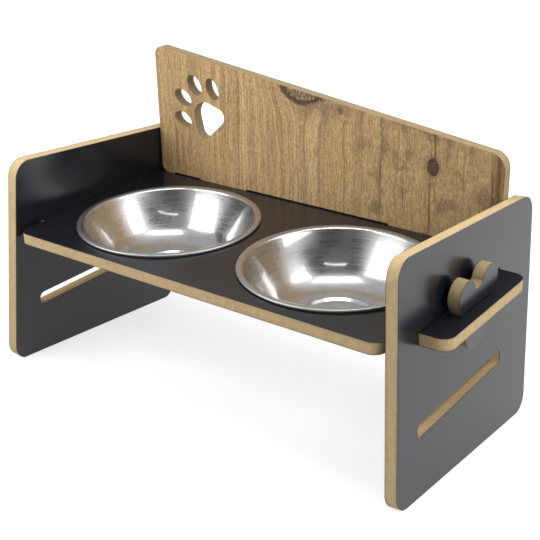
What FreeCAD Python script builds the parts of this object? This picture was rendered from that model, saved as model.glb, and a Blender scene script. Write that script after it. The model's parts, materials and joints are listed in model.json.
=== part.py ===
import FreeCAD, Part
import math
import os

# Elevated pet feeder: a flat-pack stand of faced board that carries two lift-out bowls.
# Frame: X along the shelf, Y from front to back, Z up. The origin is on the floor, under the middle.
# Lengths are in millimetres and angles in degrees.

# Board and working values
board = 8.0  # thickness of every board, facings included
facing = 0.3  # decor facing on each side of a board
overrun = 20.0  # how far a cutting tool reaches past what it cuts

# Bowls
rim_diameter = 130.0
flange_width = 4.5
bead_radius = 1.0  # rolled edge of the rim
sheet = 0.8
bowl_depth = 33.5  # ring around the disc below the top of the shelf
wall_slope = 24.0  # lean of the wall from the bowl's axis, at the mouth
wall_lip = 2.0  # straight wall under the mouth
floor_bend_share = 0.36  # reach of the bend between wall and floor, of the way from ring to mouth
curve_share = 0.97  # curved part of the wall and of the bend, the rest of each is straight
mouth_bend = 2.8  # inside radius between flange and wall
disc_radius = 24.6  # sunk disc that the bowl stands on
disc_drop = 1.8
disc_run = 2.2  # width of the slope around the disc
disc_bend = 1.2
floor_ring = 0.8  # flat ring around the disc
bowl_seat = 0.2  # air under the bead

# Shelf
bowl_gap = 12.0  # between the two rims
end_margin = 10.0  # from a rim to the shelf's shoulder
front_margin = 8.5  # from the rims to the shelf's front edge
back_margin = 12.1  # from the rims to the back panel
behind_back = 9.4  # shelf left behind the back panel
shelf_tilt = 5.3  # the front edge is the lower one
shelf_height = 102.8  # top front edge above the floor
shelf_corner = 8.0
hole_clear = 0.7  # around a bowl's wall

# Side panels
panel_lean = 4.2  # the tops lean towards each other
panel_rise = 49.4  # top of the panel above the shelf's top front edge
shoulder_gap = 3.5  # play between the shelf's shoulder and the panel
front_setback = 1.0  # panel's front edge behind the shelf's front edge
panel_behind = 7.2  # panel reaching past the shelf's back edge
panel_corner = 12.0

# Tenons, and the slots that they pass through
tenon_start = 25.0  # front flank behind the shelf's front edge
tenon_width = 102.0
tenon_wall = 7.5  # wood between the key's slot and the tenon's end
tenon_corner = 8.0
slot_clear = 0.3  # above and below the tenon
slot_front_clear = 1.0
slot_back_play = 2.0  # behind the tenon
lower_slot_play = 6.0  # the same in the lower slot
slot_corner = 2.0
lower_slot_corner = 3.5  # at the front end of the lower slot
slot_step = 58.0  # from the upper slot down to the lower one

# Heart-shaped keys
lobe_radius = 9.9
key_below = 21.0  # tip below the underside of the tenon
key_clear = 0.4  # around the key in its slot
key_gap = 0.7  # between the key's tip and the panel's outer face
lobe_offset_share = 1.465  # lobe centre from the key's middle, of the lobe's radius
lobe_lift_share = 1.01  # lobe centre above the tenon, of the lobe's radius
notch_share = 1.05  # bottom of the notch above the tenon, of the lobe's radius
notch_turn = 15.0  # where the notch leaves a lobe, above the lobe's centre
flank_turn = 32.0  # where a straight flank leaves a lobe, below the lobe's centre
shank_share = 1.667  # half width of the shank at the tenon, of the lobe's radius
tip_share = 0.9  # tip's radius, of the half width of the shank

# Back panel
back_left_height = 100.9  # above the shelf
back_right_height = 64.5
back_end_gap = 0.4  # to each side panel, at the panels' top
back_corner = 6.5
back_low_corner = 11.0  # top corner at the lower end
foot_width = 45.0  # low feet that stand on the shelf
foot_height = 1.0
foot_spacing = 169.0  # between the middles of the feet
end_foot = 12.0  # foot under each end of the panel, its round corner included
tab_inset = 3.0  # a tab is narrower than its foot, on each side
mortise_clear = 0.3

# Paw cut-out in the back panel, measured in shares of the pad's width
pad_width = 31.6
paw_margin = 15.4  # from the panel's left end
paw_top_margin = 17.3  # below the height of the panel's left end
paw_turn = 42.4
paw_reach_share = 1.03  # from the paw's middle to the tip of its toes
pad_base_share = -0.376  # straight side of the pad, from the paw's middle
pad_crown_share = 0.386
pad_base_round_share = 0.2
pad_crown_round_share = 0.355
toe_length_share = 0.27  # half the length of a toe
toe_place_shares = ((-0.64, 0.392), (-0.257, 0.77), (0.257, 0.77), (0.64, 0.392))
toe_width_shares = (0.174, 0.186, 0.186, 0.174)  # half the width of each toe
toe_turns = (30.0, 22.5, -4.5, -18.0)

# Sizes that follow from these
rim_radius = rim_diameter / 2
mouth_radius = rim_radius - flange_width
hole_radius = mouth_radius + sheet + hole_clear
bowl_offset = rim_radius + bowl_gap / 2
bowl_setback = front_margin + rim_radius
shoulder = bowl_offset + rim_radius + end_margin
back_setback = bowl_setback + rim_radius + back_margin
shelf_depth = back_setback + board + behind_back
tenon_middle = tenon_start + tenon_width / 2
tenon_end = tenon_start + tenon_width
shank_half = lobe_radius * shank_share
key_tip = -board - key_below

tilt = math.radians(shelf_tilt)
lean = math.radians(panel_lean)
panel_depth = shelf_depth * math.cos(tilt) - front_setback + panel_behind
shelf_front = -(front_setback + panel_depth) / 2
panel_front = shelf_front + front_setback
panel_top = shelf_height + panel_rise

# Directions: along the shelf, front to back, up the shelf's slope, square to it and up the right panel
ALONG = FreeCAD.Vector(1, 0, 0)
DEEP = FreeCAD.Vector(0, 1, 0)
SLOPE = FreeCAD.Vector(0, math.cos(tilt), math.sin(tilt))
NORMAL = FreeCAD.Vector(0, -math.sin(tilt), math.cos(tilt))
PANEL_UP = FreeCAD.Vector(-math.sin(lean), 0, math.cos(lean))
MIDDLE = FreeCAD.Vector(0, 0, 0)
UP = FreeCAD.Vector(0, 0, 1)


def panel_face(height, depth):
    """X of the right panel's plane that lies depth outside its inner face, at a height above the floor."""
    inner = shoulder + shoulder_gap - (height - shelf_height) * math.tan(lean)
    return inner + depth / math.cos(lean)


def on_shelf(x, setback, rise):
    """A point over the shelf: x along it, setback from its front edge, rise above its top face."""
    corner = FreeCAD.Vector(x, shelf_front, shelf_height)
    return corner + SLOPE * setback + NORMAL * rise


def frame(origin, across, up):
    """A placement whose own X runs across, own Y runs up and own Z is square to both."""
    out = across.cross(up)
    return FreeCAD.Placement(FreeCAD.Matrix(
        across.x, up.x, out.x, origin.x,
        across.y, up.y, out.y, origin.y,
        across.z, up.z, out.z, origin.z,
        0, 0, 0, 1))


def rounded(points, closed=True):
    """A wire through (x, y, radius) corners, each rounded by its radius."""
    corners = [FreeCAD.Vector(x, y, 0) for x, y, radius in points]
    count = len(points)
    stretches = []
    for index, (x, y, radius) in enumerate(points):
        here = corners[index]
        is_end = not closed and index in (0, count - 1)
        if is_end or radius == 0:
            stretches.append((here, here, here))
            continue
        before = (corners[index - 1] - here).normalize()
        after = (corners[(index + 1) % count] - here).normalize()
        half = before.getAngle(after) / 2
        run = radius / math.tan(half)
        middle = (before + after).normalize() * (radius / math.sin(half) - radius)
        stretches.append((here + before * run, here + middle, here + after * run))
    edges = []
    for index, (start, middle, end) in enumerate(stretches):
        if start != end:
            edges.append(Part.Arc(start, middle, end).toShape())
        if closed or index + 1 < count:
            following = stretches[(index + 1) % count][0]
            edges.append(Part.makeLine(end, following))
    return Part.Wire(edges)


def turned(points, angle, centre_x, centre_y):
    """Corners turned by an angle in radians about (0, 0), then moved to a centre."""
    cos, sin = math.cos(angle), math.sin(angle)
    return [(centre_x + x * cos - y * sin, centre_y + x * sin + y * cos, r) for x, y, r in points]


def rectangle(left, bottom, right, top, corner):
    """Corners of an upright rectangle with one radius."""
    return [(left, bottom, corner), (right, bottom, corner), (right, top, corner), (left, top, corner)]


def faced_board(outline, holes, place):
    """Rear facing, core and front facing of one board cut to an outline with holes."""
    face = Part.makeFace([outline] + holes, "Part::FaceMakerBullseye")
    layers = []
    bottom = 0
    for thickness in (facing, board - 2 * facing, facing):
        layer = face.extrude(UP * thickness)
        layer.translate(UP * bottom)
        layer.Placement = place.multiply(layer.Placement)
        layers.append(layer)
        bottom += thickness
    return layers


def side_panel():
    """Layers of the right panel, from its inner facing out: a leaning board that stands level."""
    drop = board * math.sin(lean)
    base = FreeCAD.Vector(panel_face(-drop, 0), panel_front, -drop)
    top = (panel_top + drop) / math.cos(lean)
    outline = rounded(rectangle(0, 0, panel_depth, top, panel_corner))

    start = tenon_start - slot_front_clear
    angle = math.atan(math.tan(tilt) / math.cos(lean))
    passing = board / (math.cos(tilt) * math.cos(lean)) + board * math.tan(lean)
    half_height = passing * math.cos(angle) / 2 + slot_clear
    slots = []
    upper = (slot_back_play, slot_corner, 0)
    lower = (lower_slot_play, lower_slot_corner, slot_step)
    for back_play, front_corner, step in (upper, lower):
        end = tenon_end + back_play
        centre = on_shelf(0, (start + end) / 2, -board / 2)
        centre_x = centre.y - panel_front
        centre_y = (centre.z + drop / 2) / math.cos(lean) - step
        half_length = (end - start) / 2
        slot = rectangle(-half_length, -half_height, half_length, half_height, slot_corner)
        slot = [(x, y, front_corner if x < 0 else radius) for x, y, radius in slot]
        slots.append(rounded(turned(slot, angle, centre_x, centre_y)))

    floor_cut = Part.makeBox(board + 2 * overrun, panel_depth + 2 * overrun, overrun)
    floor_cut.translate(FreeCAD.Vector(base.x - overrun, panel_front - overrun, -overrun))
    layers = faced_board(outline, slots, frame(base, DEEP, PANEL_UP))
    return [layer.cut(floor_cut) for layer in layers]


def key_inner():
    """X of the right key's inner face, just outside the panel at the height of the key's tip."""
    tip = on_shelf(0, tenon_middle, key_tip)
    return panel_face(tip.z, board) + key_gap


def key():
    """Layers of the right key, from its inner facing out: a heart whose lobes rest on the tenon."""
    offset = lobe_radius * lobe_offset_share
    lift = lobe_radius * lobe_lift_share
    notch = lobe_radius * notch_share
    notch_angle, flank_angle = math.radians(notch_turn), math.radians(flank_turn)
    notch_x = offset - lobe_radius * math.cos(notch_angle)
    notch_y = lift + lobe_radius * math.sin(notch_angle)
    flank_x = offset + lobe_radius * math.cos(flank_angle)
    flank_y = lift - lobe_radius * math.sin(flank_angle)
    seat = flank_x - flank_y * math.tan(flank_angle)
    tip_radius = shank_half * tip_share
    tip_centre = key_tip + tip_radius
    reach = math.hypot(shank_half, tip_centre)
    touch = math.atan2(-tip_centre, shank_half) - math.acos(tip_radius / reach)
    tip_x = tip_radius * math.cos(touch)
    tip_y = tip_centre + tip_radius * math.sin(touch)
    crown_x = offset + lobe_radius * math.cos(math.pi / 4)
    crown_y = lift + lobe_radius * math.sin(math.pi / 4)

    def point(x, y):
        return FreeCAD.Vector(x, y, 0)

    outline = Part.Wire([
        Part.Arc(point(-notch_x, notch_y), point(0, notch), point(notch_x, notch_y)).toShape(),
        Part.Arc(point(notch_x, notch_y), point(crown_x, crown_y), point(flank_x, flank_y)).toShape(),
        Part.makeLine(point(flank_x, flank_y), point(seat, 0)),
        Part.makeLine(point(seat, 0), point(shank_half, 0)),
        Part.makeLine(point(shank_half, 0), point(tip_x, tip_y)),
        Part.Arc(point(tip_x, tip_y), point(0, key_tip), point(-tip_x, tip_y)).toShape(),
        Part.makeLine(point(-tip_x, tip_y), point(-shank_half, 0)),
        Part.makeLine(point(-shank_half, 0), point(-seat, 0)),
        Part.makeLine(point(-seat, 0), point(-flank_x, flank_y)),
        Part.Arc(point(-flank_x, flank_y), point(-crown_x, crown_y), point(-notch_x, notch_y)).toShape()])
    return faced_board(outline, [], frame(on_shelf(key_inner(), tenon_middle, 0), SLOPE, NORMAL))


def shelf():
    """Layers of the shelf from its underside up: two bowl holes, two tenons, key slots and mortises."""
    end = key_inner() + board + key_clear + tenon_wall
    right = [(shoulder, 0, shelf_corner), (shoulder, tenon_start, 0), (end, tenon_start, tenon_corner),
             (end, tenon_end, tenon_corner), (shoulder, tenon_end, 0), (shoulder, shelf_depth, shelf_corner)]
    left = [(-x, y, radius) for x, y, radius in reversed(right)]
    holes = []
    for side in (-1, 1):
        hole = Part.makeCircle(hole_radius, FreeCAD.Vector(side * bowl_offset, bowl_setback, 0))
        holes.append(Part.Wire([hole]))

        slot_middle = side * (key_inner() + board / 2)
        half = board / 2 + key_clear
        slot_reach = shank_half + key_clear
        holes.append(rounded(rectangle(slot_middle - half, tenon_middle - slot_reach,
                                       slot_middle + half, tenon_middle + slot_reach, 0)))

        mortise_middle = side * foot_spacing / 2
        half = foot_width / 2 - tab_inset + mortise_clear
        holes.append(rounded(rectangle(mortise_middle - half, back_setback - mortise_clear,
                                       mortise_middle + half, back_setback + board + mortise_clear, 0)))
    return faced_board(rounded(right + left), holes, frame(on_shelf(0, 0, -board), ALONG, SLOPE))


def pad():
    """Corners of the paw's pad: a triangle that just holds its three round corners."""
    base, crown = pad_width * pad_base_share, pad_width * pad_crown_share
    base_round, crown_round = pad_width * pad_base_round_share, pad_width * pad_crown_round_share
    across = pad_width / 2 - base_round
    up = crown - crown_round - base - base_round
    side = math.acos((crown_round - base_round) / math.hypot(across, up)) - math.atan2(up, across)
    reach = (crown - crown_round) * math.sin(side) + crown_round
    corner = (reach - base * math.sin(side)) / math.cos(side)
    return [(-corner, base, base_round), (corner, base, base_round), (0, reach / math.sin(side), crown_round)]


def paw(centre_x, centre_y):
    """Wires of the paw cut-out: a pad and four toes."""
    turn = math.radians(paw_turn)
    wires = [rounded(turned(pad(), turn, centre_x, centre_y))]
    for (across, along), width_share, toe_turn in zip(toe_place_shares, toe_width_shares, toe_turns):
        toe = Part.Ellipse(MIDDLE, pad_width * toe_length_share, pad_width * width_share).toShape()
        toe.rotate(MIDDLE, UP, toe_turn + paw_turn + 90)
        place = turned([(pad_width * across, pad_width * along, 0)], turn, centre_x, centre_y)[0]
        toe.translate(FreeCAD.Vector(place[0], place[1], 0))
        wires.append(Part.Wire([toe]))
    return wires


def back_panel():
    """Layers of the back panel, from its rear facing to its front one: it stands square on the shelf."""
    half = panel_face(panel_top, 0) - back_end_gap
    tab_half = foot_width / 2 - tab_inset
    bottom = []
    for side in (-1, 1):
        middle = side * foot_spacing / 2
        bottom += [(middle - foot_width / 2, foot_height, 0), (middle - foot_width / 2, 0, 0),
                   (middle - tab_half, 0, 0), (middle - tab_half, -board, 0),
                   (middle + tab_half, -board, 0), (middle + tab_half, 0, 0),
                   (middle + foot_width / 2, 0, 0), (middle + foot_width / 2, foot_height, 0)]
    foot_end = half - end_foot
    outline = [(-half, 0, back_corner), (-foot_end, 0, 0), (-foot_end, foot_height, 0)] + bottom + [
        (foot_end, foot_height, 0), (foot_end, 0, 0), (half, 0, back_corner),
        (half, back_right_height, back_low_corner), (-half, back_left_height, back_corner)]
    reach = pad_width * paw_reach_share
    holes = paw(-half + paw_margin + reach, back_left_height - paw_top_margin - reach)
    return faced_board(rounded(outline), holes, frame(on_shelf(0, back_setback + board, 0), ALONG, NORMAL))


def bend(before, here, after, run):
    """A corner whose arc starts and ends a run away from it."""
    half = (before - here).getAngle(after - here) / 2
    return here.x, here.y, run * curve_share * math.tan(half)


def bowl():
    """One bowl on its own axis: sheet with a sunk disc, a curved wall, a flange and a rolled edge."""
    flange = bowl_seat + 2 * bead_radius
    bead_ring = rim_radius - bead_radius
    slope = math.radians(wall_slope)
    down = FreeCAD.Vector(-math.sin(slope), -math.cos(slope), 0)
    lip = FreeCAD.Vector(mouth_radius, flange, 0) + down * wall_lip
    ring = FreeCAD.Vector(disc_radius + floor_ring, -bowl_depth, 0)

    # The bend and the wall are two arcs that meet where the lines between their corners do.
    floor_run = (mouth_radius - ring.x) * floor_bend_share
    floor_corner = ring + ALONG * floor_run
    rise = lip - floor_corner
    wall_run = (rise.dot(rise) - floor_run**2) / (2 * (floor_run - rise.dot(down)))
    wall_corner = lip + down * wall_run

    disc = -bowl_depth - disc_drop
    inside = rounded([(0, disc, 0), (disc_radius - disc_run, disc, disc_bend),
                      (disc_radius, -bowl_depth, disc_bend),
                      bend(ring, floor_corner, wall_corner, floor_run),
                      bend(floor_corner, wall_corner, lip, wall_run),
                      (mouth_radius, flange, mouth_bend), (bead_ring, flange, 0)], closed=False)
    section = inside.makeOffset2D(sheet, 0, True, True)
    section.rotate(MIDDLE, ALONG, 90)
    bead = Part.makeTorus(bead_ring, bead_radius, UP * (bowl_seat + bead_radius), UP)
    return section.revolve(MIDDLE, UP, 360).fuse(bead).removeSplitter()


def mirrored(shape):
    """The same piece on the left side."""
    return shape.mirror(MIDDLE, ALONG)


def main():
    nodes = {}
    for name, layers in (("panel", side_panel()), ("key", key())):
        for layer, solid in zip(("inner_facing", "core", "outer_facing"), layers):
            nodes[f"right_{name}_{layer}"] = solid
            nodes[f"left_{name}_{layer}"] = mirrored(solid)
    for layer, solid in zip(("bottom_facing", "core", "top_facing"), shelf()):
        nodes[f"shelf_{layer}"] = solid
    for layer, solid in zip(("rear_facing", "core", "front_facing"), back_panel()):
        nodes[f"back_panel_{layer}"] = solid
    for name, side in (("left_bowl", -1), ("right_bowl", 1)):
        piece = bowl()
        seat = frame(on_shelf(side * bowl_offset, bowl_setback, 0), ALONG, SLOPE)
        piece.Placement = seat.multiply(piece.Placement)
        nodes[name] = piece

    os.makedirs("parts", exist_ok=True)
    for name, shape in nodes.items():
        shape.exportStep(f"parts/{name}.step")
        print(f"{name}: valid {shape.isValid()}, solids {len(shape.Solids)}, volume {shape.Volume:.1f}")


main()
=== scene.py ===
import json
import math

import bmesh
import bpy
from mathutils import Matrix, Vector


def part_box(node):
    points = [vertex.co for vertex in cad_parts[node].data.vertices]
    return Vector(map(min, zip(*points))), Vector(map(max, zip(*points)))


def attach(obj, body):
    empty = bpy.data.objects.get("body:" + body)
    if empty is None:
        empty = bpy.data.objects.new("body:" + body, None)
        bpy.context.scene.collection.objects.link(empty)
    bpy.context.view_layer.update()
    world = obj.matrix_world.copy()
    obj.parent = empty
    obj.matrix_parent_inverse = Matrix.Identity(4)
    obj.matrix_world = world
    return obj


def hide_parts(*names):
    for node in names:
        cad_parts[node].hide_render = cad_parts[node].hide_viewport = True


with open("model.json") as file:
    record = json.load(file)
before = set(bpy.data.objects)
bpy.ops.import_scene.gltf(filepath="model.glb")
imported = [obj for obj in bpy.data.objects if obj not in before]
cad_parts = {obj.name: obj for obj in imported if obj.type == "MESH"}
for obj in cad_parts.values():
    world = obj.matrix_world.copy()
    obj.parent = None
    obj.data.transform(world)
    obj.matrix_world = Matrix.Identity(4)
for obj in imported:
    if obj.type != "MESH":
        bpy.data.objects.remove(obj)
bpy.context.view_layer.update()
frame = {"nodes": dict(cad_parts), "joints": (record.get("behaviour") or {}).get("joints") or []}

# Elevated pet feeder, dressed for the photograph. Lengths are metres in the CAD's own frame.

NODES = frame["nodes"]
SHELF_NORMAL = Vector(frame["joints"][0]["axis"])
SHELF_LEVEL = max(v.co.dot(SHELF_NORMAL) for v in NODES["shelf_top_facing"].data.vertices)

# Camera, as the photograph was taken
CAMERA_PLACE = (0.411045, -0.557815, 0.346347)
CAMERA_AZIMUTH = 35.854
CAMERA_ELEVATION = 20.585
CAMERA_ROLL = 1.872
CAMERA_LENS = 71.665

# Softboxes: middle, heading of the light, direction of the first side, first side, other side, radiance
SOFTBOXES = {
    "right_softbox": ((0.40, 0.122, 0.52), (-1.0, 0.0, 0.0), (0.0, 1.0, 0.0), 0.25, 0.27, 5.9),
    "front_left_softbox": ((-0.34, -0.40, 0.42), (0.0, 1.0, 0.0), (1.0, 0.0, 0.0), 0.495, 0.265, 5.4),
    "overhead_softbox": ((0.105, -0.125, 0.65), (0.0, 0.0, -1.0), (0.81, 0.59, 0.0), 0.47, 0.17, 5.6),
    "side_fill": ((0.95, -0.1, 0.38), (-1.0, 0.0, -0.35), (0.0, 1.0, 0.0), 0.7, 0.25, 4.4),
    "front_strip": ((0.61, -0.81, 0.99), (-0.46, 0.62, -0.64), (0.80, 0.60, 0.0), 0.66, 0.02, 5.0),
}

# World: brightness by height above the horizon, and a darker part on the side that the photo was taken from
SKY_STOPS = ((0.0, 0.95), (0.03, 0.9), (0.12, 0.55), (1.0, 0.5))
DARK_SIDE = (0.45, -0.62, 0.643)
DARK_REACH = (0.62, 0.9)
DARK_SHARE = 0.1

# Floor: its glow goes from that under the feeder to that of the backdrop between two distances
FLOOR_HALF = 25.0
FLOOR_COLOUR = (0.62, 0.62, 0.62, 1.0)
FLOOR_GLOW = 0.7
BACKDROP_GLOW = 1.0
FLOOR_REACH = (0.25, 0.6)
WHITE = (1.0, 1.0, 1.0, 1.0)

# Bowl, on its own axis from the top of the shelf
SHEET = 0.0008
FLANGE_WIDTH = 0.0045
BEAD_RADIUS = 0.001
BEAD_CENTRE = 0.0012
BEAD_TURN = 1.5 * math.pi  # from the flange round to level with the bead's middle, on its inner side
BOWL_DEPTH = 0.0335
WALL_SLOPE = math.radians(24.0)
WALL_LIP = 0.002
FLOOR_BEND_SHARE = 0.36
MOUTH_BEND = 0.0028
DISC_RADIUS = 0.0246
DISC_DROP = 0.0018
DISC_RUN = 0.0022
DISC_BEND = 0.0012
FLOOR_RING = 0.0008
BEND_STEPS = 28
BEAD_STEPS = 20
SAME_POINT = 0.000001
BOWL_SEGMENTS = 192

# In all the materials below:
# - a noise is its sizes along x, y and z, and its detail
# - a step is its start and end, and, where they aren't 0 and 1, the values before and after it
# - a relief is its depth and its strength
NOISE_MIDDLE = 0.5
NOISE_SPAN = (0.3, 0.7)

# Black melamine
PEEL_NOISE = ((0.0011,) * 3, 2.0)
CLOUD_NOISE = ((0.03,) * 3, 3.0)
BLACK_COLOURS = ((0.006, 0.0075, 0.012, 1.0), (0.010, 0.0115, 0.016, 1.0))
BLACK_ROUGHNESS = 0.2
BLACK_UNEVENNESS = 0.04
PEEL_RELIEF = (0.00006, 0.06)

# Raw board: darkest and lightest colour inside it and near its faces, and how much darker some boards are
BOARDS = ("left_panel", "right_panel", "shelf", "left_key", "right_key", "back_panel")
OAK_BOARD = "back_panel"
BOARD_SOFT = ((0.57, 0.42, 0.225, 1.0), (0.73, 0.555, 0.31, 1.0))
BOARD_HARD = ((0.48, 0.345, 0.17, 1.0), (0.63, 0.465, 0.25, 1.0))
BOARD_TINT = {"back_panel": 0.57, "left_key": 0.66, "right_key": 0.66}
FIBRE_NOISE = ((0.0012,) * 3, 3.0)
FIBRE_SQUEEZE = 3.0  # how many more fibres there are across the board than along it
FIBRE_SHARE = 0.7
FIBRE_RELIEF = (0.00012, 0.5)
TUFT_NOISE = ((0.0045,) * 3, 2.0)
TUFT_SHARE = 0.3
BOARD_TONE = (0.35, 0.65)
HARD_FROM = 0.55
BOARD_ROUGHNESS = (*NOISE_SPAN, 0.75, 0.9)
BOARD_SHINE = 0.25

# Oak decor: places are along the shelf and above it, on the panel's faces
OAK_LIGHT = (0.79, 0.545, 0.258, 1.0)
OAK_MIDDLE = (0.69, 0.458, 0.203, 1.0)
OAK_STREAK = (0.25, 0.148, 0.065, 1.0)
OAK_PURPLE = (0.25, 0.155, 0.093, 1.0)
OAK_DULL = (0.505, 0.34, 0.151, 1.0)
OAK_RED = (0.24, 0.115, 0.05, 1.0)
OAK_EDGE = (0.13, 0.072, 0.031, 1.0)
OAK_BARK = (0.06, 0.036, 0.022, 1.0)
OAK_DARK = (0.028, 0.016, 0.009, 1.0)
OAK_PALE = (0.78, 0.585, 0.325, 1.0)
OAK_PINK = (0.55, 0.355, 0.184, 1.0)
OAK_ROUGHNESS = (*NOISE_SPAN, 0.62, 0.48)
OAK_SHINE = 0.35
OAK_RELIEF = (0.00008, 0.5)
SPECK_HEIGHT = 0.6
FINE_HEIGHT = 0.4

# Noises of the grain, which bends around the marks, and of the spots, which don't
SWAY_NOISE = ((0.03, 1.0, 0.05), 2.0)
SWAY_WIDTH = 0.007
BAND_NOISE = ((0.011, 1.0, 0.30), 2.0)
STREAK_NOISE = ((0.0030, 1.0, 0.13), 3.0)
FINE_NOISE = ((0.0010, 1.0, 0.016), 2.0)
RIB_NOISE = ((0.0040, 1.0, 0.22), 2.0)
SPECK_NOISE = ((0.0008, 1.0, 0.0013), 2.0)
FLECK_NOISE = ((0.0012, 1.0, 0.003), 2.0)
# Painted shade: noise of darker purple patches over the right part of the panel
SHADE_PATCH_NOISE = ((0.016, 1.0, 0.02), 4.0)
MOTTLE_NOISE = ((0.011, 1.0, 0.009), 3.0)

# Steps of the grain, in those noises and, where they end in SPAN, along the shelf
BAND_STEP = (0.38, 0.66)
STREAK_STEP = (0.5, 0.68, 0.0, 0.8)
FINE_STEP = (0.48, 0.68, 0.0, 0.6)
RIB_STEP = (0.46, 0.58, 0.0, 0.9)
RIB_SPAN = (-0.03, 0.05, 1.0, 0.3)
DULL_STEP = (0.3, 0.62, 0.25, 0.95)
DULL_SPAN = (-0.02, 0.09)
# Painted shade: darker purple patches, in that noise and from here along the shelf
SHADE_PATCH_STEP = (0.52, 0.64, 0.0, 0.75)
SHADE_PATCH_SPAN = (0.02, 0.06)
# Painted shade: the left end of the oak panel is darkened, along the shelf from here
LEFT_SHADE_SPAN = (-0.15, -0.05, 0.36, 0.0)
EDGE_STEP = (0.38, 0.6, 0.55, 1.0)
EDGE_SPAN = (0.1355, 0.1385)

# Marks: middle and half sizes, and how they bend the grain: a step outwards, and a share
KNOT = ((0.0949, 0.0483), (0.0043, 0.0063))
KNOT_BEND = ((0.5, 4.0, 1.0, 0.0), -0.75)
BARK = ((-0.0085, 0.0905), (0.0225, 0.0150))
BARK_BEND = ((0.5, 2.2, 1.0, 0.0), -0.5)
BARK_HALO = ((0.004, 0.0860), (0.024, 0.017))
SWIRL = ((0.0224, 0.0751), (0.006, 0.006))
SWIRL_BEND = ((0.2, 2.0, 1.0, 0.0), -0.6)

# How ragged the marks are, and steps outwards from their middles, where 1 is on the mark's own outline
BARK_RAGGED = 0.6
BARK_STEP = (0.8, 1.1, 1.0, 0.0)
BARK_FLECKS = (0.42, 0.58, 0.75, 0.2)
BARK_RING = ((0.74, 0.88), (0.98, 1.12, 1.0, 0.0))
BARK_RING_SHARE = 0.95
HALO_STEP = (0.7, 1.7, 1.0, 0.0)
HALO_MOTTLE = (0.35, 0.6, 0.2, 0.8)
KNOT_RAGGED = 0.5
KNOT_HALO = (0.95, 1.7, 0.8, 0.0)
KNOT_STEP = (0.85, 1.1, 0.92, 0.0)
KNOT_RING = ((0.35, 0.7), (0.85, 1.05, 1.0, 0.0))
KNOT_RING_SHARE = 0.75
SWIRL_RAGGED = 0.8
SWIRL_STEP = (0.25, 0.6, 0.6, 0.0)

# Flecks and specks over all of it, and how much fewer pale flecks there are on the marks
DARK_FLECK = (0.36, 0.48, 0.4, 0.0)
PALE_FLECK = (0.54, 0.66, 0.0, 0.45)
DARK_SPECK = (0.36, 0.5, 0.5, 0.0)
PALE_LOSS = -0.8
PALE_AT_KNOT = (0.8, 1.2, 0.3, 1.0)

# Cracks: upper end, lower end, half width, strength
CRACKS = (
    ((0.0955, 0.0750), (0.0963, 0.0520), 0.0009, 0.80),
    ((0.0928, 0.0430), (0.0938, -0.002), 0.0007, 0.85),
    ((0.0967, 0.0433), (0.0977, 0.0215), 0.0006, 0.60),
    ((0.0932, 0.0610), (0.0940, 0.0520), 0.0005, 0.55),
    ((0.0764, 0.0800), (0.0773, 0.0455), 0.0005, 0.40),
    ((0.0724, 0.0400), (0.0732, 0.0116), 0.0006, 0.60),
    ((0.0546, 0.0820), (0.0560, 0.0080), 0.0016, 0.30),
    ((0.1369, 0.0560), (0.1385, 0.0290), 0.0007, 0.70),
    ((-0.0515, 0.0455), (-0.0462, 0.0385), 0.0004, 0.55),
    ((-0.0490, 0.0330), (-0.0455, 0.0290), 0.0004, 0.40),
)
# Reddish streaks, given in the same way
RED_STREAKS = (
    ((-0.1290, 0.0420), (-0.1280, 0.0040), 0.0016, 0.75),
    ((-0.1235, 0.0360), (-0.1228, 0.0060), 0.0011, 0.65),
    ((-0.1180, 0.0300), (-0.1170, 0.0020), 0.0012, 0.50),
)
CRACK_SWAY = 3.0  # half widths
CRACK_CORE = 0.25  # share of the half width that is at full strength
CRACK_BODY = 0.7  # share of the length before the ends fade

# Spun steel
RING_NOISE = ((0.0004, 0.6, 0.6), 2.0)
RING_STEP = (0.35, 0.65, -0.025, 0.03)
ARC_NOISE = ((0.0009, 0.4, 0.4), 3.0)
ARC_STEP = (0.35, 0.65)
ARC_RELIEF = (0.00003, 0.008)
WORN_NOISE = ((0.02,) * 3, 2.0)
WORN_STEP = (0.4, 0.62, 0.0, 0.05)
STEEL_COLOURS = ((0.485, 0.485, 0.48, 1.0), (0.52, 0.52, 0.515, 1.0))
STEEL_ROUGHNESS = 0.27
GLOSS_ROUGHNESS = 0.06
GLOSS_IOR = 2.7
DULL_ROUGHNESS = 0.12  # more than elsewhere
RIM_DULL = (0.0612, 0.0622)  # from here out the flange is duller than the bowl
DISC_DULL = (0.0205, 0.0222, 1.0, 0.0)  # and from here in, the disc is


def axes(azimuth, elevation, roll):
    """Right, up and back vectors of something that looks at the object from there, as a matrix."""
    turn = math.radians(azimuth)
    rise = math.radians(elevation)
    back = Vector((math.sin(turn) * math.cos(rise), -math.cos(turn) * math.cos(rise), math.sin(rise)))
    level = Vector((math.cos(turn), math.sin(turn), 0.0))
    right = Matrix.Rotation(math.radians(roll), 3, back) @ level
    return Matrix((right, back.cross(right), back)).transposed()


def add(name, data):
    """A new object in the scene."""
    made = bpy.data.objects.new(name, data)
    bpy.context.scene.collection.objects.link(made)
    return made


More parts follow.
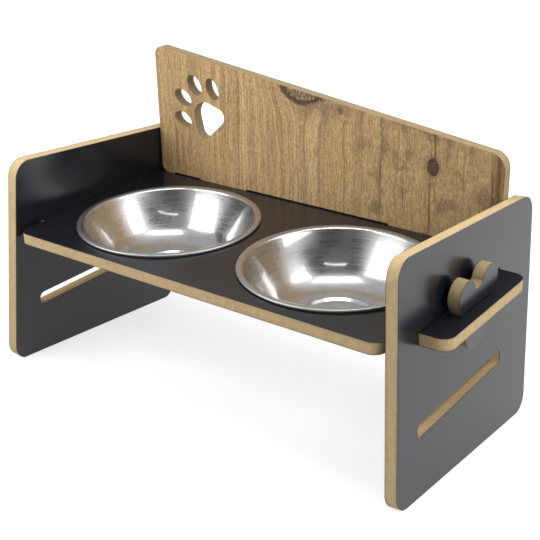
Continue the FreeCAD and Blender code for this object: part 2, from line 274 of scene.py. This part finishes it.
class Graph:
    """One material's node graph. Each call adds a step and returns its output."""

    def __init__(self, name):
        self.material = bpy.data.materials.new(name)
        self.material.use_nodes = True
        self.tree = self.material.node_tree
        self.shader = self.tree.nodes["Principled BSDF"]
        self.place = self.node("ShaderNodeTexCoord").outputs["Object"]

    def put(self, socket, value):
        """A socket takes another step's output or a plain value."""
        if isinstance(value, bpy.types.NodeSocket):
            self.tree.links.new(value, socket)
        else:
            socket.default_value = value

    def node(self, kind, inputs=(), **settings):
        made = self.tree.nodes.new(kind)
        for name, value in settings.items():
            setattr(made, name, value)
        for key, value in inputs:
            self.put(made.inputs[key], value)
        return made

    def shade(self, **inputs):
        """Sets the shader's inputs, with underscores for spaces in their names."""
        for name, value in inputs.items():
            self.put(self.shader.inputs[name.replace("_", " ")], value)

    def math(self, operation, a, b=0.0):
        return self.node("ShaderNodeMath", ((0, a), (1, b)), operation=operation).outputs[0]

    def plus(self, *values):
        total = values[0]
        for value in values[1:]:
            total = self.math("ADD", total, value)
        return total

    def times(self, *values):
        product = values[0]
        for value in values[1:]:
            product = self.math("MULTIPLY", product, value)
        return product

    def length(self, a, b):
        """Length of the longest side of a right-angled triangle."""
        return self.math("SQRT", self.plus(self.times(a, a), self.times(b, b)))

    def vector(self, operation, a, b):
        return self.node("ShaderNodeVectorMath", ((0, a), (1, b)), operation=operation).outputs["Vector"]

    def dot(self, a, b):
        return self.node("ShaderNodeVectorMath", ((0, a), (1, b)), operation="DOT_PRODUCT").outputs["Value"]

    def split(self, vector):
        return self.node("ShaderNodeSeparateXYZ", ((0, vector),)).outputs

    def join(self, x, y, z):
        return self.node("ShaderNodeCombineXYZ", ((0, x), (1, y), (2, z))).outputs[0]

    def step(self, value, start, end, low=0.0, high=1.0):
        """A smooth change from low at start to high at end."""
        inputs = ((0, value), (1, start), (2, end), (3, low), (4, high))
        return self.node("ShaderNodeMapRange", inputs, interpolation_type="SMOOTHSTEP").outputs[0]

    def noise(self, place, sizes, detail):
        """Noise from about 0.3 to 0.7, with features of these sizes along x, y and z."""
        scaled = self.vector("MULTIPLY", place, [1.0 / s for s in sizes])
        inputs = (("Vector", scaled), ("Scale", 1.0), ("Detail", detail))
        return self.node("ShaderNodeTexNoise", inputs).outputs["Fac"]

    def ragged(self, noise, share):
        """A share of a noise, around 0."""
        return self.times(self.plus(noise, -NOISE_MIDDLE), share)

    def mix(self, share, first, second):
        """A colour that goes from first to second."""
        made = self.node("ShaderNodeMix", ((0, share),), data_type="RGBA")
        self.put(made.inputs[6], first)
        self.put(made.inputs[7], second)
        return made.outputs[2]

    def bump(self, height, depth, strength):
        inputs = (("Height", height), ("Distance", depth), ("Strength", strength))
        return self.node("ShaderNodeBump", inputs).outputs["Normal"]


def black_melamine():
    """Black facing with a fine orange-peel grain and a soft sheen."""
    g = Graph("black_melamine")
    peel = g.noise(g.place, *PEEL_NOISE)
    cloud = g.noise(g.place, *CLOUD_NOISE)
    uneven = (g.times(cloud, BLACK_UNEVENNESS), g.times(peel, BLACK_UNEVENNESS))
    g.shade(
        Base_Color=g.mix(cloud, *BLACK_COLOURS),
        Roughness=g.plus(*uneven, BLACK_ROUGHNESS),
        Normal=g.bump(peel, *PEEL_RELIEF),
    )
    return g.material


def toned(colour, tint):
    """A colour made darker."""
    return (*(part * tint for part in colour[:3]), 1.0)


def raw_board(name, core, facing, tint):
    """Cut edge of a fibreboard: fine fibres that lie along the board, denser near its two faces."""
    g = Graph(name)
    through = max(NODES[facing].data.polygons, key=lambda face: face.area).normal.copy()
    reach = [v.co.dot(through) for v in NODES[core].data.vertices]
    middle = (max(reach) + min(reach)) / 2
    half = (max(reach) - min(reach)) / 2
    depth = g.plus(g.dot(g.place, through), -middle)
    squeeze = g.vector("MULTIPLY", g.join(depth, depth, depth), through * FIBRE_SQUEEZE)
    fibre = g.noise(g.vector("ADD", g.place, squeeze), *FIBRE_NOISE)
    tuft = g.noise(g.place, *TUFT_NOISE)
    density = g.step(g.math("ABSOLUTE", depth), half * HARD_FROM, half)
    tone = g.step(g.plus(g.times(fibre, FIBRE_SHARE), g.times(tuft, TUFT_SHARE)), *BOARD_TONE)
    soft = g.mix(tone, *(toned(colour, tint) for colour in BOARD_SOFT))
    hard = g.mix(tone, *(toned(colour, tint) for colour in BOARD_HARD))
    g.shade(
        Base_Color=g.mix(density, soft, hard),
        Roughness=g.step(fibre, *BOARD_ROUGHNESS),
        Normal=g.bump(fibre, *FIBRE_RELIEF),
        Specular_IOR_Level=BOARD_SHINE,
    )
    return g.material


class Oak(Graph):
    """Rustic oak decor: upright grain, a knot with cracks, a bark pocket under the top edge."""

    def __init__(self):
        super().__init__("oak_decor")
        self.x = self.split(self.place)[0]
        self.rise = self.plus(self.dot(self.place, SHELF_NORMAL), -SHELF_LEVEL)
        board = self.join(self.x, 0.0, self.rise)
        self.sway = self.plus(self.noise(board, *SWAY_NOISE), -NOISE_MIDDLE)
        self.knot = self.blot(*KNOT)
        self.bark = self.blot(*BARK)
        self.swirl = self.blot(*SWIRL)
        push = self.plus(
            self.pushed(self.knot, KNOT, *KNOT_BEND),
            self.pushed(self.bark, BARK, *BARK_BEND),
            self.pushed(self.swirl, SWIRL, *SWIRL_BEND),
        )
        warped = self.join(self.plus(self.x, push, self.times(self.sway, SWAY_WIDTH)), 0.0, self.rise)
        self.bands = self.noise(warped, *BAND_NOISE)
        self.streaks = self.noise(warped, *STREAK_NOISE)
        self.fine = self.noise(warped, *FINE_NOISE)
        self.ribs = self.noise(warped, *RIB_NOISE)
        self.speck = self.noise(board, *SPECK_NOISE)
        self.fleck = self.noise(board, *FLECK_NOISE)
        self.shade_patches = self.noise(board, *SHADE_PATCH_NOISE)
        self.mottle = self.noise(board, *MOTTLE_NOISE)
        self.edge = self.times(self.step(self.x, *EDGE_SPAN), self.step(self.streaks, *EDGE_STEP))
        ragged = (self.ragged(self.mottle, BARK_RAGGED), self.ragged(self.speck, BARK_RAGGED))
        self.pocket = self.plus(self.bark, *ragged)
        self.pocket_ring = self.band(self.pocket, *BARK_RING)
        self.heart = self.plus(self.knot, self.ragged(self.speck, KNOT_RAGGED))

    def blot(self, centre, sizes):
        """Distance from a place on the panel, 1 on an ellipse of these half sizes."""
        across = self.times(self.plus(self.x, -centre[0]), 1.0 / sizes[0])
        up = self.times(self.plus(self.rise, -centre[1]), 1.0 / sizes[1])
        return self.length(across, up)

    def pushed(self, distance, mark, step, share):
        """How far a mark moves the grain's places sideways, so that the grain bends around it."""
        return self.times(self.step(distance, *step), self.plus(self.x, -mark[0][0]), share)

    def band(self, distance, inner, outer):
        """A ring between two steps."""
        return self.times(self.step(distance, *inner), self.step(distance, *outer))

    def crack(self, top, bottom, half, strength):
        """A dark line down the grain, thin at both ends."""
        lean = (top[0] - bottom[0]) / (top[1] - bottom[1])
        line = self.plus(self.times(self.plus(self.rise, -bottom[1]), lean), bottom[0])
        swayed = self.times(self.sway, half * CRACK_SWAY)
        off = self.math("ABSOLUTE", self.plus(self.x, self.times(line, -1.0), swayed))
        middle = (top[1] + bottom[1]) / 2
        span = (top[1] - bottom[1]) / 2
        along = self.math("ABSOLUTE", self.plus(self.rise, -middle))
        ends = self.step(along, span * CRACK_BODY, span, 1.0, 0.0)
        return self.times(self.step(off, half * CRACK_CORE, half, 1.0, 0.0), ends, strength)

    def cracked(self, colour, lines, dark):
        """The colour with dark lines over it."""
        for line in lines:
            colour = self.mix(self.crack(*line), colour, dark)
        return colour

    def grain(self):
        """The grain, duller to the right, darker at the right end and around the bark pocket, with painted
        shade in patches over the right part and at the left end.
        """
        ribs = self.times(self.step(self.ribs, *RIB_STEP), self.step(self.x, *RIB_SPAN))
        dull = self.times(self.step(self.x, *DULL_SPAN), self.step(self.mottle, *DULL_STEP))
        # Painted shade: darker purple patches over the right part of the panel
        shady = self.times(self.step(self.x, *SHADE_PATCH_SPAN), self.step(self.shade_patches, *SHADE_PATCH_STEP))
        halo = self.step(self.blot(*BARK_HALO), *HALO_STEP)
        colour = self.mix(self.step(self.bands, *BAND_STEP), OAK_LIGHT, OAK_MIDDLE)
        colour = self.mix(self.step(self.streaks, *STREAK_STEP), colour, OAK_STREAK)
        colour = self.mix(ribs, colour, OAK_PINK)
        colour = self.mix(dull, colour, OAK_DULL)
        colour = self.mix(shady, colour, OAK_PURPLE)
        colour = self.mix(self.step(self.fine, *FINE_STEP), colour, OAK_STREAK)
        colour = self.mix(self.times(halo, self.step(self.mottle, *HALO_MOTTLE)), colour, OAK_PURPLE)
        # Painted shade: the left end of the panel darkened
        colour = self.mix(self.step(self.x, *LEFT_SHADE_SPAN), colour, OAK_STREAK)
        return self.mix(self.edge, colour, OAK_EDGE)

    def marks(self, colour):
        """Reddish streaks, the bark pocket, the knot, the small swirl and the cracks."""
        colour = self.cracked(colour, RED_STREAKS, OAK_RED)
        inside = self.times(self.step(self.pocket, *BARK_STEP), self.step(self.fleck, *BARK_FLECKS))
        colour = self.mix(inside, colour, OAK_BARK)
        colour = self.mix(self.times(self.pocket_ring, BARK_RING_SHARE), colour, OAK_DARK)
        colour = self.mix(self.step(self.heart, *KNOT_HALO), colour, OAK_PURPLE)
        colour = self.mix(self.step(self.heart, *KNOT_STEP), colour, OAK_BARK)
        knot_ring = self.band(self.heart, *KNOT_RING)
        colour = self.mix(self.times(knot_ring, KNOT_RING_SHARE), colour, OAK_DARK)
        pin = self.plus(self.swirl, self.ragged(self.speck, SWIRL_RAGGED))
        colour = self.mix(self.step(pin, *SWIRL_STEP), colour, OAK_DARK)
        return self.cracked(colour, CRACKS, OAK_DARK)

    def flecks(self, colour):
        """Small dark and pale flecks, with fewer pale ones on the marks."""
        off_edge = self.plus(1.0, self.times(self.edge, PALE_LOSS))
        off_ring = self.plus(1.0, self.times(self.pocket_ring, PALE_LOSS))
        plain = self.times(off_edge, off_ring, self.step(self.heart, *PALE_AT_KNOT))
        pale = self.times(self.step(self.fleck, *PALE_FLECK), plain)
        colour = self.mix(self.step(self.fleck, *DARK_FLECK), colour, OAK_STREAK)
        colour = self.mix(pale, colour, OAK_PALE)
        return self.mix(self.step(self.speck, *DARK_SPECK), colour, OAK_STREAK)


def oak_decor():
    """The material of the back panel's faces."""
    g = Oak()
    height = g.plus(g.times(g.speck, SPECK_HEIGHT), g.times(g.fine, FINE_HEIGHT))
    g.shade(
        Base_Color=g.flecks(g.marks(g.grain())),
        Roughness=g.step(g.speck, *OAK_ROUGHNESS),
        Normal=g.bump(height, *OAK_RELIEF),
        Specular_IOR_Level=OAK_SHINE,
    )
    return g.material


def spun_steel():
    """Spun stainless steel: a haze of fine rings under a sharp gloss, without the gloss on rim and disc."""
    g = Graph("spun_steel")
    x, y, z = g.split(g.place)
    radius = g.length(x, y)
    along = g.plus(radius, g.times(z, -1.0))
    turned = g.join(along, g.math("DIVIDE", x, radius), g.math("DIVIDE", y, radius))
    rings = g.noise(turned, *RING_NOISE)
    arcs = g.noise(turned, *ARC_NOISE)
    worn = g.noise(g.place, *WORN_NOISE)
    haze = g.plus(STEEL_ROUGHNESS, g.step(rings, *RING_STEP), g.step(worn, *WORN_STEP))
    dull = g.plus(g.step(radius, *RIM_DULL), g.step(radius, *DISC_DULL))
    g.shade(
        Base_Color=g.mix(g.step(arcs, *ARC_STEP), *STEEL_COLOURS),
        Metallic=1.0,
        Roughness=g.plus(haze, g.times(dull, DULL_ROUGHNESS)),
        Normal=g.bump(arcs, *ARC_RELIEF),
        Coat_Weight=g.plus(1.0, g.times(dull, -1.0)),
        Coat_Roughness=GLOSS_ROUGHNESS,
        Coat_IOR=GLOSS_IOR,
    )
    return g.material


def paint(node, material):
    """Gives a CAD node its material."""
    if not node.material_slots:
        node.data.materials.append(material)
    for place in node.material_slots:
        place.material = material


def dress_boards():
    """Materials of the CAD nodes that show as they are."""
    black = black_melamine()
    oak = oak_decor()
    for board in BOARDS:
        core = board + "_core"
        faces = [n for n in NODES if n.startswith(board) and n.endswith("facing")]
        for name in faces:
            paint(NODES[name], oak if board == OAK_BOARD else black)
        paint(NODES[core], raw_board("raw_board_" + board, core, faces[0], BOARD_TINT.get(board, 1.0)))


def rounded(corners):
    """Points along a line through (radius, height, bend) corners, with each bend as an arc."""
    points = []
    for number, (r, z, bend) in enumerate(corners):
        here = Vector((r, z))
        if not bend:
            points.append(here)
            continue
        before = (Vector(corners[number - 1][:2]) - here).normalized()
        after = (Vector(corners[number + 1][:2]) - here).normalized()
        half = before.angle(after) / 2
        centre = here + (before + after).normalized() * (bend / math.sin(half))
        start = here + before * (bend / math.tan(half)) - centre
        turn = start.angle_signed(here + after * (bend / math.tan(half)) - centre)
        for step in range(BEND_STEPS + 1):
            points.append(centre + Matrix.Rotation(-turn * step / BEND_STEPS, 2) @ start)
    apart = [here for before, here in zip(points, points[1:]) if (here - before).length > SAME_POINT]
    return points[:1] + apart


def bend(before, here, after, run):
    """Radius of a corner whose arc starts and ends a run away from it."""
    return run * math.tan((before - here).angle(after - here) / 2)


def shifted(points, distance):
    """The same line, moved to the right of its own direction."""
    moved = []
    for number, point in enumerate(points):
        ahead = points[min(number + 1, len(points) - 1)] - points[max(number - 1, 0)]
        ahead.normalize()
        moved.append(point + Vector((ahead.y, -ahead.x)) * distance)
    return moved


def bowl_profile(rim_radius):
    """Closed section of the bowl's sheet, from the middle inside to the middle outside."""
    flange = BEAD_CENTRE + BEAD_RADIUS
    bead_ring = rim_radius - BEAD_RADIUS
    mouth = Vector((rim_radius - FLANGE_WIDTH, flange))
    down = Vector((-math.sin(WALL_SLOPE), -math.cos(WALL_SLOPE)))
    lip = mouth + down * WALL_LIP
    ring = Vector((DISC_RADIUS + FLOOR_RING, -BOWL_DEPTH))
    floor_run = (mouth.x - ring.x) * FLOOR_BEND_SHARE
    floor_corner = ring + Vector((floor_run, 0.0))
    rise = lip - floor_corner
    wall_run = (rise.length_squared - floor_run**2) / (2 * (floor_run - rise.dot(down)))
    wall_corner = lip + down * wall_run
    disc = -BOWL_DEPTH - DISC_DROP
    inside = rounded([
        (0.0, disc, 0),
        (DISC_RADIUS - DISC_RUN, disc, DISC_BEND),
        (DISC_RADIUS, -BOWL_DEPTH, DISC_BEND),
        (*floor_corner, bend(ring, floor_corner, wall_corner, floor_run)),
        (*wall_corner, bend(floor_corner, wall_corner, lip, wall_run)),
        (*mouth, MOUTH_BEND),
        (bead_ring, flange, 0),
    ])
    outside = shifted(inside, SHEET)
    close = math.asin((flange - SHEET - BEAD_CENTRE) / BEAD_RADIUS)
    sweep = BEAD_TURN + close
    bead = []
    for step in range(1, BEAD_STEPS):
        angle = math.pi / 2 - sweep * step / BEAD_STEPS
        r = bead_ring + BEAD_RADIUS * math.cos(angle)
        z = BEAD_CENTRE + BEAD_RADIUS * math.sin(angle)
        bead.append(Vector((r, z)))
    outside[0].x = 0.0
    outside[-1].x = bead_ring - BEAD_RADIUS * math.cos(close)
    return inside + bead + outside[::-1]


def turned_mesh(name, profile):
    """The profile turned round the axis."""
    shape = bmesh.new()
    rings = []
    for r, z in profile:
        count = BOWL_SEGMENTS if r > 0 else 1
        angles = [2 * math.pi * k / count for k in range(count)]
        rings.append([shape.verts.new((r * math.cos(a), r * math.sin(a), z)) for a in angles])
    for low, high in zip(rings, rings[1:]):
        for k in range(BOWL_SEGMENTS):
            turns = ((low, k), (low, k + 1), (high, k + 1), (high, k))
            corners = [ring[turn % len(ring)] for ring, turn in turns]
            face = shape.faces.new(dict.fromkeys(corners))
            face.smooth = True
    bmesh.ops.recalc_face_normals(shape, faces=shape.faces)
    mesh = bpy.data.meshes.new(name)
    shape.to_mesh(mesh)
    shape.free()
    return mesh


def bowl(side, steel):
    """A smooth spun bowl in place of its CAD node."""
    node = side + "_bowl"
    low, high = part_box(node)
    centre = (low + high) / 2
    across = Vector((1, 0, 0))
    tilt = Matrix((across, SHELF_NORMAL.cross(across), SHELF_NORMAL)).transposed()
    rim = (high.x - low.x) / 2
    made = add("spun_" + node, turned_mesh("spun_" + node, bowl_profile(rim)))
    bead_top = abs(SHELF_NORMAL.y) * (rim - BEAD_RADIUS) + BEAD_RADIUS
    bead_middle = Vector((centre.x, centre.y, high.z - bead_top))
    seat = bead_middle - SHELF_NORMAL * BEAD_CENTRE
    made.matrix_world = Matrix.Translation(seat) @ tilt.to_4x4()
    made.data.materials.append(steel)
    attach(made, node)
    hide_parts(node)


def floor():
    """A plain pale floor that stays white to the camera and in reflections, and keeps the shadow."""
    shape = bmesh.new()
    corners = ((-1, -1), (1, -1), (1, 1), (-1, 1))
    shape.faces.new([shape.verts.new((x * FLOOR_HALF, y * FLOOR_HALF, 0.0)) for x, y in corners])
    mesh = bpy.data.meshes.new("floor")
    shape.to_mesh(mesh)
    shape.free()
    g = Graph("pale_floor")
    path = g.node("ShaderNodeLightPath").outputs
    seen = g.plus(path["Is Camera Ray"], path["Is Glossy Ray"], path["Is Transmission Ray"])
    away = g.node("ShaderNodeVectorMath", ((0, g.place),), operation="LENGTH").outputs["Value"]
    glow = g.step(away, *FLOOR_REACH, FLOOR_GLOW, BACKDROP_GLOW)
    g.shade(
        Base_Color=FLOOR_COLOUR,
        Roughness=1.0,
        Specular_IOR_Level=0.0,
        Emission_Color=WHITE,
        Emission_Strength=g.times(g.math("MINIMUM", seen, 1.0), glow),
    )
    made = add("floor", mesh)
    made.data.materials.append(g.material)


def softbox(name, middle, heading, along, width, height, radiance):
    """A rectangle of even light."""
    lamp = bpy.data.lights.new(name, "AREA")
    lamp.shape = "RECTANGLE"
    lamp.size = width
    lamp.size_y = height
    lamp.energy = radiance * math.pi * width * height
    made = add(name, lamp)
    back = -Vector(heading).normalized()
    across = Vector(along).normalized()
    facing = Matrix((across, back.cross(across), back)).transposed()
    made.matrix_world = Matrix.Translation(middle) @ facing.to_4x4()
    made.visible_camera = False


def sky():
    """Pale at the horizon, grey above it, darker on one side."""
    world = bpy.data.worlds.new("studio")
    bpy.context.scene.world = world
    world.use_nodes = True
    tree = world.node_tree
    heading = tree.nodes.new("ShaderNodeTexCoord").outputs["Generated"]
    parts = tree.nodes.new("ShaderNodeSeparateXYZ")
    tree.links.new(heading, parts.inputs[0])
    ramp = tree.nodes.new("ShaderNodeValToRGB")
    tree.links.new(parts.outputs["Z"], ramp.inputs[0])
    stops = ramp.color_ramp.elements
    for stop in SKY_STOPS[1:-1]:
        stops.new(stop[0])
    for stop, (place, level) in zip(stops, SKY_STOPS):
        stop.position = place
        stop.color = (level, level, level, 1.0)
    tree.links.new(ramp.outputs["Color"], tree.nodes["Background"].inputs["Color"])
    side = tree.nodes.new("ShaderNodeVectorMath")
    side.operation = "DOT_PRODUCT"
    side.inputs[1].default_value = DARK_SIDE
    tree.links.new(heading, side.inputs[0])
    shade = tree.nodes.new("ShaderNodeMapRange")
    shade.interpolation_type = "SMOOTHSTEP"
    for number, value in enumerate((*DARK_REACH, 1.0, DARK_SHARE), 1):
        shade.inputs[number].default_value = value
    tree.links.new(side.outputs["Value"], shade.inputs[0])
    tree.links.new(shade.outputs[0], tree.nodes["Background"].inputs["Strength"])


def camera():
    """The photograph's own viewpoint."""
    lens = bpy.data.cameras.new("camera")
    lens.lens = CAMERA_LENS
    made = add("camera", lens)
    facing = axes(CAMERA_AZIMUTH, CAMERA_ELEVATION, CAMERA_ROLL)
    made.matrix_world = Matrix.Translation(CAMERA_PLACE) @ facing.to_4x4()
    bpy.context.scene.camera = made


def main():
    bpy.context.scene.view_settings.view_transform = "Standard"
    camera()
    sky()
    for name, values in SOFTBOXES.items():
        softbox(name, *values)
    floor()
    dress_boards()
    steel = spun_steel()
    bowl("left", steel)
    bowl("right", steel)
    bpy.context.view_layer.update()


main()
